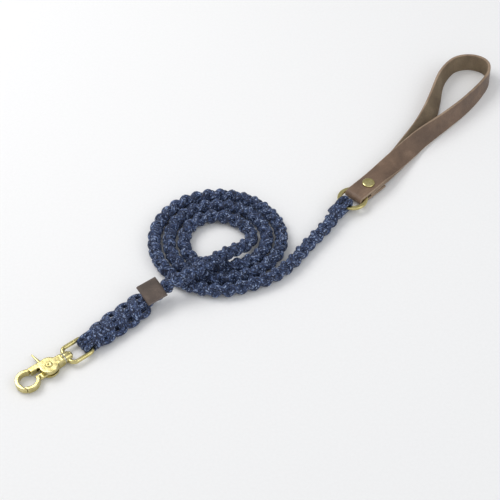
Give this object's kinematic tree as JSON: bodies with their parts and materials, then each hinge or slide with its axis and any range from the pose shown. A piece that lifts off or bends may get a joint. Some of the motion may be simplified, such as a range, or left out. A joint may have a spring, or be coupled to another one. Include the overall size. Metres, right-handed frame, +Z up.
{
  "type": "braided lead",
  "caption": "Short braided cord lead, coiled flat, with a riveted leather hand loop on an O-ring a knotted grip and a brass swivel trigger snap.",
  "frame": {"origin": "on the resting surface, under the middle of the box round the hand loop, ring, snap, knotted grip and leather tab", "axes": "+Z up from the surface; +X across the coil towards the hand loop; +Y away from the snap"},
  "size_m": [0.436, 0.4103, 0.0265],
  "materials": {
    "braid": "woven nylon cord, speckled navy",
    "strap_leather": "oiled, satin, burnished edges",
    "tab_leather": "matt, dark",
    "brass": "polished",
    "steel": "plain"
  },
  "bodies": {
    "rope": {"rope_coil": "braid", "rope_free_run": "braid", "rope_crossing": "braid", "ring_hitch": "braid", "bow_hitch": "braid", "knot_core": "braid", "knot_wraps": "braid", "leather_tab": "tab_leather"},
    "ring": {"ring": "brass"},
    "handle": {"handle_strap": "strap_leather", "strap_rivet_cap": "brass", "strap_rivet_post": "brass"},
    "bow": {"swivel_bow": "brass", "swivel_washer": "steel"},
    "hook": {"snap_body": "brass", "swivel_stem": "brass", "gate_pivot": "brass", "gate_spring": "steel"},
    "gate": {"snap_gate": "brass"}
  },
  "joints": [
    {"name": "ring_rock", "type": "hinge", "parent": "rope", "child": "ring", "pos_m": [0.06223, 0.00376, 0.0069], "axis": [0.7314, -0.682, 0], "range_deg": [0, 80]},
    {"name": "handle_swing", "type": "hinge", "parent": "ring", "child": "handle", "pos_m": [0.0702, 0.0123, 0.0069], "axis": [0, 0, 1], "range_deg": [-25, 25]},
    {"name": "bow_swing", "type": "hinge", "parent": "rope", "child": "bow", "pos_m": [-0.16091, -0.15619, 0.005], "axis": [-0.6361, 0.7716, 0], "range_deg": [0, 80]},
    {"name": "snap_swivel", "type": "hinge", "parent": "bow", "child": "hook", "pos_m": [-0.17788, -0.17019, 0.005], "axis": [0.7716, 0.6361, 0], "continuous": true},
    {"name": "gate_open", "type": "hinge", "parent": "hook", "child": "gate", "pos_m": [-0.191, -0.181, 0.004], "axis": [0, 0, -1], "range_deg": [0, 15], "stiffness_Nm_per_rad": 0.03}
  ]
}
